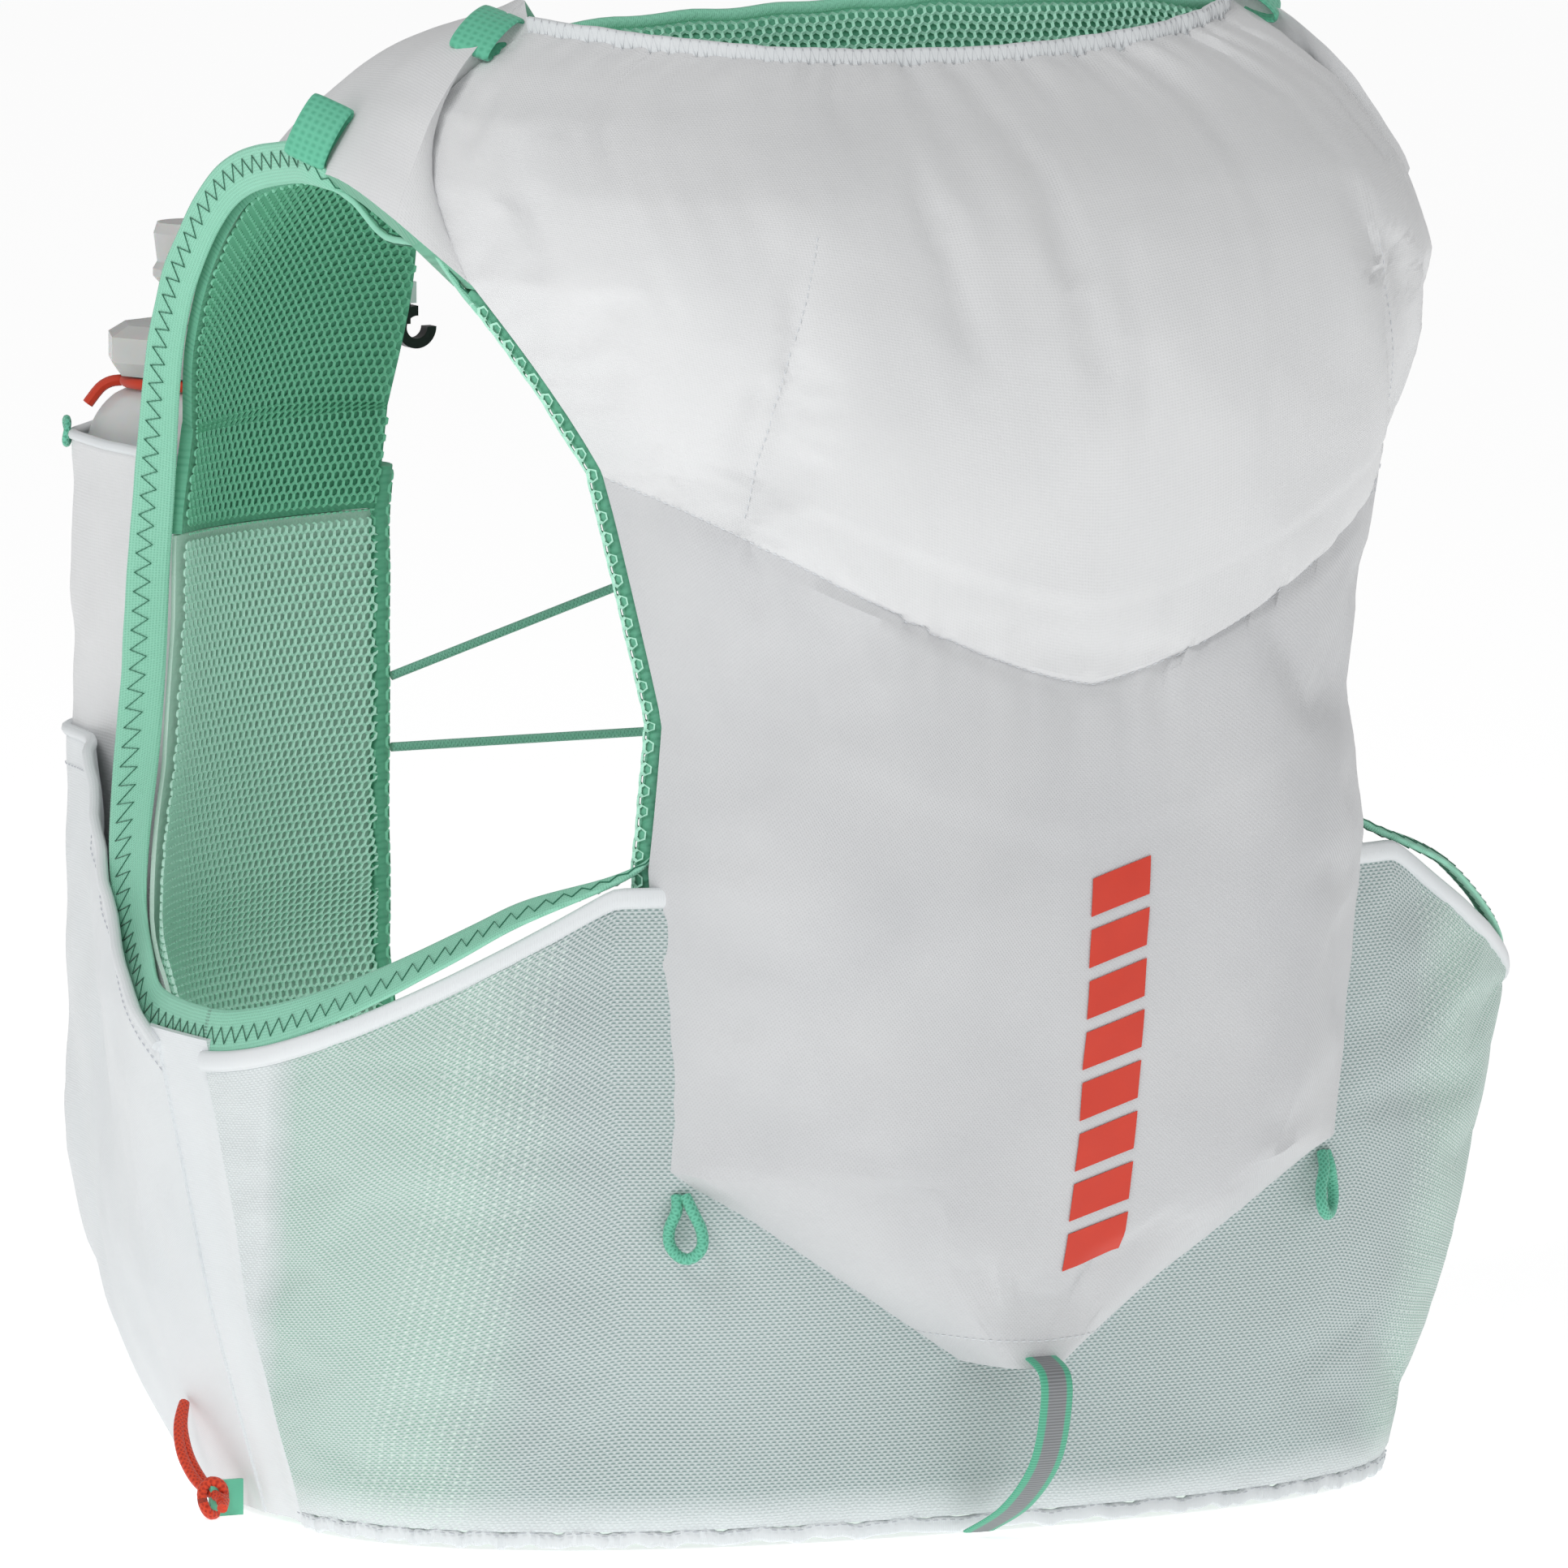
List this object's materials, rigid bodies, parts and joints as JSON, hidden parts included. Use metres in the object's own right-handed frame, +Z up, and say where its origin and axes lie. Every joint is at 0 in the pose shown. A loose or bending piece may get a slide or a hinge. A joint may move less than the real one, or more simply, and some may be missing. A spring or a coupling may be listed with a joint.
{
  "type": "hydration vest",
  "caption": "Running hydration vest with a bulging back compartment, mesh belt pocket, swinging chest panels, soft flasks with bite valves, and chest cords.",
  "frame": {"origin": "middle of the torso opening at the hem's height", "axes": "+Z up the wearer's body, +Y towards the wearer's chest, -Y out of the pack's back, +X towards the wearer's right"},
  "size_m": [0.3928, 0.3494, 0.4194],
  "materials": {
    "white_fabric": "matte woven nylon",
    "green_mesh": "matte 3D spacer mesh",
    "stretch_mesh": "sheer stretch mesh",
    "green_tape": "matte stretch binding",
    "green_cord": "braided cord",
    "orange_cord": "braided elastic",
    "reflective": "reflective tape",
    "black_plastic": "moulded plastic",
    "grey_plastic": "translucent moulded cap",
    "flask_film": "frosted soft film",
    "valve_silicone": "translucent silicone",
    "zip_metal": "dull metal",
    "zip_fabric": "woven zip tape"
  },
  "bodies": {
    "harness": {"back_lining": "green_mesh", "upper_shell": "white_fabric", "lower_shell": "white_fabric", "mouth_binding": "white_fabric", "belt_lining": "stretch_mesh", "belt_mesh": "stretch_mesh", "hem_tape": "white_fabric", "reflective_strip": "reflective", "side_strip_left": "stretch_mesh", "strap_shoulder_left": "white_fabric", "strap_back_left": "white_fabric", "neck_loop_left": "green_tape", "armhole_tape_back_left": "green_tape", "corner_loop_left": "green_cord", "side_strip_right": "stretch_mesh", "strap_shoulder_right": "white_fabric", "strap_back_right": "white_fabric", "neck_loop_right": "green_tape", "armhole_tape_back_right": "green_tape", "corner_loop_right": "green_cord"},
    "front_left": {"front_lining_left": "green_mesh", "strap_front_left": "white_fabric", "armhole_tape_front_left": "green_tape", "shoulder_loop_left": "green_tape", "flask_pocket_left": "white_fabric", "side_pocket_left": "white_fabric", "front_rail_left": "green_cord", "zip_tape_left": "zip_fabric", "pocket_pull_left": "green_cord", "pole_tab_left": "green_tape", "pole_cord_left": "orange_cord", "hook_mount_left": "white_fabric", "chest_cord_upper": "green_cord", "chest_cord_lower": "green_cord", "chest_hooks": "black_plastic"},
    "flask_left": {"flask_bag_left": "flask_film", "flask_keeper_left": "orange_cord"},
    "cap_left": {"flask_cap_left": "grey_plastic"},
    "valve_left": {"bite_valve_left": "valve_silicone"},
    "hook_left": {"pole_hook_left": "black_plastic"},
    "slider_left": {"zip_slider_left": "zip_metal"},
    "front_right": {"front_lining_right": "green_mesh", "strap_front_right": "white_fabric", "armhole_tape_front_right": "green_tape", "shoulder_loop_right": "green_tape", "flask_pocket_right": "white_fabric", "side_pocket_right": "white_fabric", "front_rail_right": "green_cord", "zip_tape_right": "zip_fabric", "pocket_pull_right": "green_cord", "pole_tab_right": "green_tape", "pole_cord_right": "orange_cord", "hook_mount_right": "white_fabric"},
    "flask_right": {"flask_bag_right": "flask_film", "flask_keeper_right": "orange_cord"},
    "cap_right": {"flask_cap_right": "grey_plastic"},
    "valve_right": {"bite_valve_right": "valve_silicone"},
    "hook_right": {"pole_hook_right": "black_plastic"},
    "slider_right": {"zip_slider_right": "zip_metal"}
  },
  "joints": [
    {"name": "front_left_open", "type": "hinge", "parent": "harness", "child": "front_left", "pos_m": [-0.172, 0, 0], "axis": [0.085, 0.008, 0.9963], "range_deg": [0, 36], "deforming": ["side_strip_left", "strap_shoulder_left"]},
    {"name": "flask_left_lift", "type": "slide", "parent": "front_left", "child": "flask_left", "axis": [0, 0, 1], "range_m": [0, 0.2]},
    {"name": "cap_left_turn", "type": "hinge", "parent": "flask_left", "child": "cap_left", "pos_m": [-0.123, 0.142, 0.303], "axis": [0, 0, 1], "range_deg": [0, 720]},
    {"name": "valve_left_pull", "type": "slide", "parent": "cap_left", "child": "valve_left", "axis": [0, 0, 1], "range_m": [0, 0.012]},
    {"name": "hook_left_turn", "type": "hinge", "parent": "front_left", "child": "hook_left", "pos_m": [-0.076, 0.104, 0.327], "axis": [0, -1, 0], "range_deg": [-10, 60]},
    {"name": "slider_left_slide", "type": "slide", "parent": "front_left", "child": "slider_left", "axis": [0, 0, -1], "range_m": [0, 0.09]},
    {"name": "front_right_open", "type": "hinge", "parent": "harness", "child": "front_right", "pos_m": [0.172, 0, 0], "axis": [0.085, -0.008, -0.9963], "range_deg": [0, 36], "deforming": ["side_strip_right", "strap_shoulder_right"]},
    {"name": "flask_right_lift", "type": "slide", "parent": "front_right", "child": "flask_right", "axis": [0, 0, 1], "range_m": [0, 0.2]},
    {"name": "cap_right_turn", "type": "hinge", "parent": "flask_right", "child": "cap_right", "pos_m": [0.123, 0.142, 0.303], "axis": [0, 0, 1], "range_deg": [0, 720]},
    {"name": "valve_right_pull", "type": "slide", "parent": "cap_right", "child": "valve_right", "axis": [0, 0, 1], "range_m": [0, 0.012]},
    {"name": "hook_right_turn", "type": "hinge", "parent": "front_right", "child": "hook_right", "pos_m": [0.076, 0.104, 0.327], "axis": [0, 1, 0], "range_deg": [-10, 60]},
    {"name": "slider_right_slide", "type": "slide", "parent": "front_right", "child": "slider_right", "axis": [0, 0, -1], "range_m": [0, 0.09]}
  ]
}
